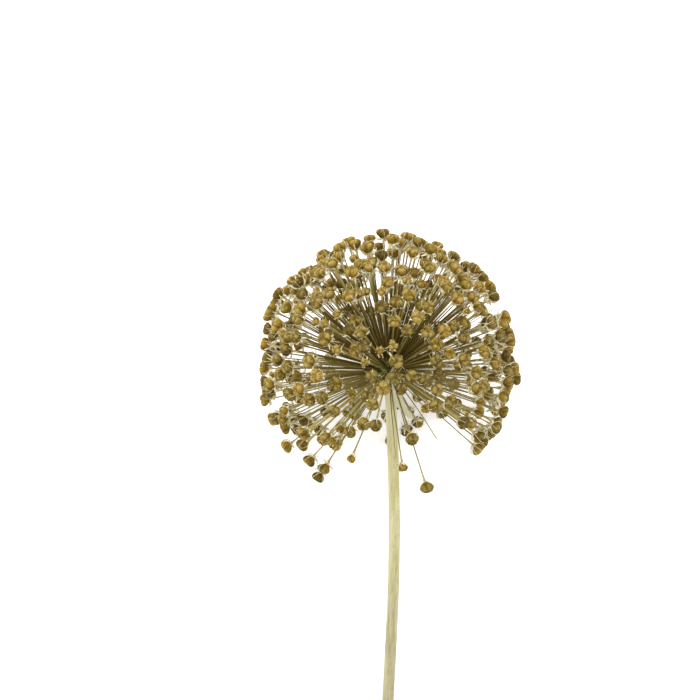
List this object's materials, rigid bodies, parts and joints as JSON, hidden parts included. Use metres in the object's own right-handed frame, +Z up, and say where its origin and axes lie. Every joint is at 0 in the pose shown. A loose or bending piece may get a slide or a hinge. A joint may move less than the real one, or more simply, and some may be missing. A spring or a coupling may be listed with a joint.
{
  "type": "dried allium seed head",
  "caption": "Dried allium seed head on its cut stem, lying on its side: a ball of radiating rays tipped with seed capsules.",
  "frame": {"origin": "middle of the whole in plan, on the surface that it lies on", "axes": "+Z up from the surface; +Y along the stem from its cut end towards the seed head; +X to the right when looking down with the head at the top"},
  "size_m": [0.1314, 0.3038, 0.1239],
  "materials": {
    "straw_stem": "dry, matt straw with fine lengthwise fibres",
    "papery_bract": "thin, matt and veined",
    "husk": "dry, matt ochre to olive brown seed capsules on olive rays"
  },
  "bodies": {
    "root": {"scape": "straw_stem", "spathe_bract_1": "papery_bract", "spathe_bract_2": "papery_bract", "ray_cluster_01": "husk", "ray_cluster_02": "husk", "ray_cluster_03": "husk", "ray_cluster_04": "husk", "ray_cluster_05": "husk", "ray_cluster_06": "husk", "ray_cluster_07": "husk", "ray_cluster_08": "husk", "ray_cluster_09": "husk", "ray_cluster_10": "husk", "ray_cluster_11": "husk", "ray_cluster_12": "husk", "ray_cluster_13": "husk", "ray_cluster_14": "husk", "ray_cluster_15": "husk", "ray_cluster_16": "husk", "ray_cluster_17": "husk", "ray_cluster_18": "husk", "ray_cluster_19": "husk", "ray_cluster_20": "husk", "ray_cluster_21": "husk", "ray_cluster_22": "husk", "ray_cluster_23": "husk", "ray_cluster_24": "husk", "ray_cluster_25": "husk", "ray_cluster_26": "husk", "ray_cluster_27": "husk", "ray_cluster_28": "husk", "ray_cluster_29": "husk", "ray_cluster_30": "husk", "ray_cluster_31": "husk", "ray_cluster_32": "husk", "ray_cluster_33": "husk", "ray_cluster_34": "husk", "ray_cluster_35": "husk", "ray_cluster_36": "husk", "ray_cluster_37": "husk", "ray_cluster_38": "husk", "ray_cluster_39": "husk", "ray_cluster_40": "husk", "ray_cluster_41": "husk", "ray_cluster_42": "husk", "ray_cluster_43": "husk", "ray_cluster_44": "husk", "ray_cluster_45": "husk", "ray_cluster_46": "husk", "ray_cluster_47": "husk", "ray_cluster_48": "husk", "ray_cluster_49": "husk", "ray_cluster_50": "husk", "ray_cluster_51": "husk", "ray_cluster_52": "husk", "ray_cluster_53": "husk", "ray_cluster_54": "husk", "ray_cluster_55": "husk", "ray_cluster_56": "husk", "ray_cluster_57": "husk"}
  },
  "joints": []
}
